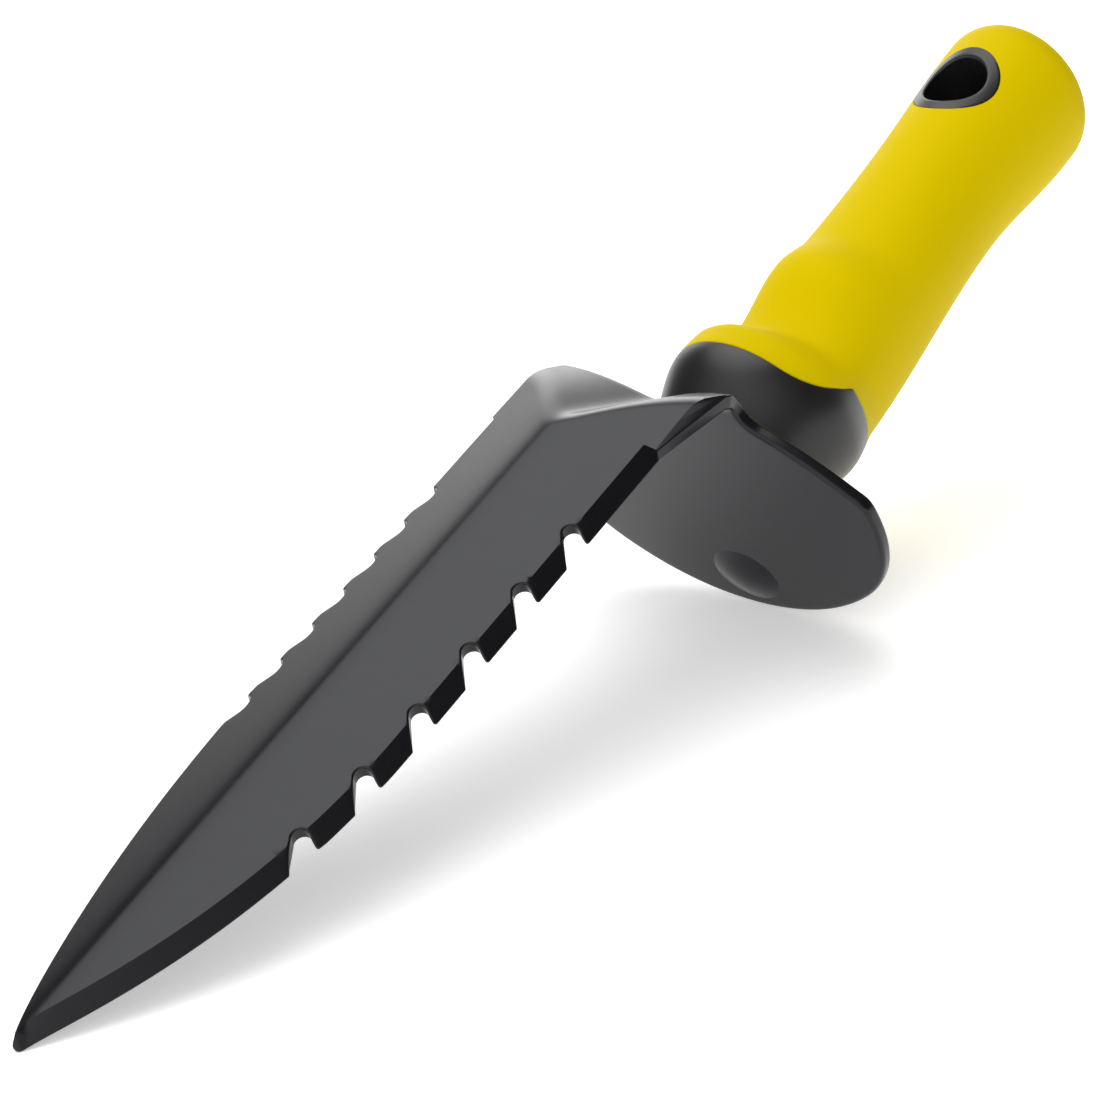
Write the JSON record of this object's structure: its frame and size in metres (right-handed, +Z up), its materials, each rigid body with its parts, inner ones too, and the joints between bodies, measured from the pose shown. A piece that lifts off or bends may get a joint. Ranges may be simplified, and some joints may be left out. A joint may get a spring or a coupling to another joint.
{
  "type": "hand trowel",
  "caption": "Digging-knife hand trowel: pointed folded blade with toothed edges, a wide hand guard and a grip with a hanging hole.",
  "frame": {"origin": "bottom centre of the object as it rests on a table, on the blade's tip and the foot of the guard", "axes": "+Z up, +Y towards the end of the handle, +X to the saw-toothed side of the blade"},
  "size_m": [0.094, 0.3261, 0.1052],
  "materials": {
    "black_steel": "black baked coating, satin, on folded steel sheet",
    "bare_steel": "turned bar, hidden inside the handle",
    "weld_metal": "plain weld bead, hidden inside the collar",
    "grey_plastic": "hard moulded plastic with a fine matt grain",
    "yellow_rubber": "soft-touch over-moulding, matt"
  },
  "bodies": {
    "root": {"blade_guard": "black_steel", "tang": "bare_steel", "tang_weld": "weld_metal", "handle_core": "grey_plastic", "grip_sleeve": "yellow_rubber"}
  },
  "joints": []
}
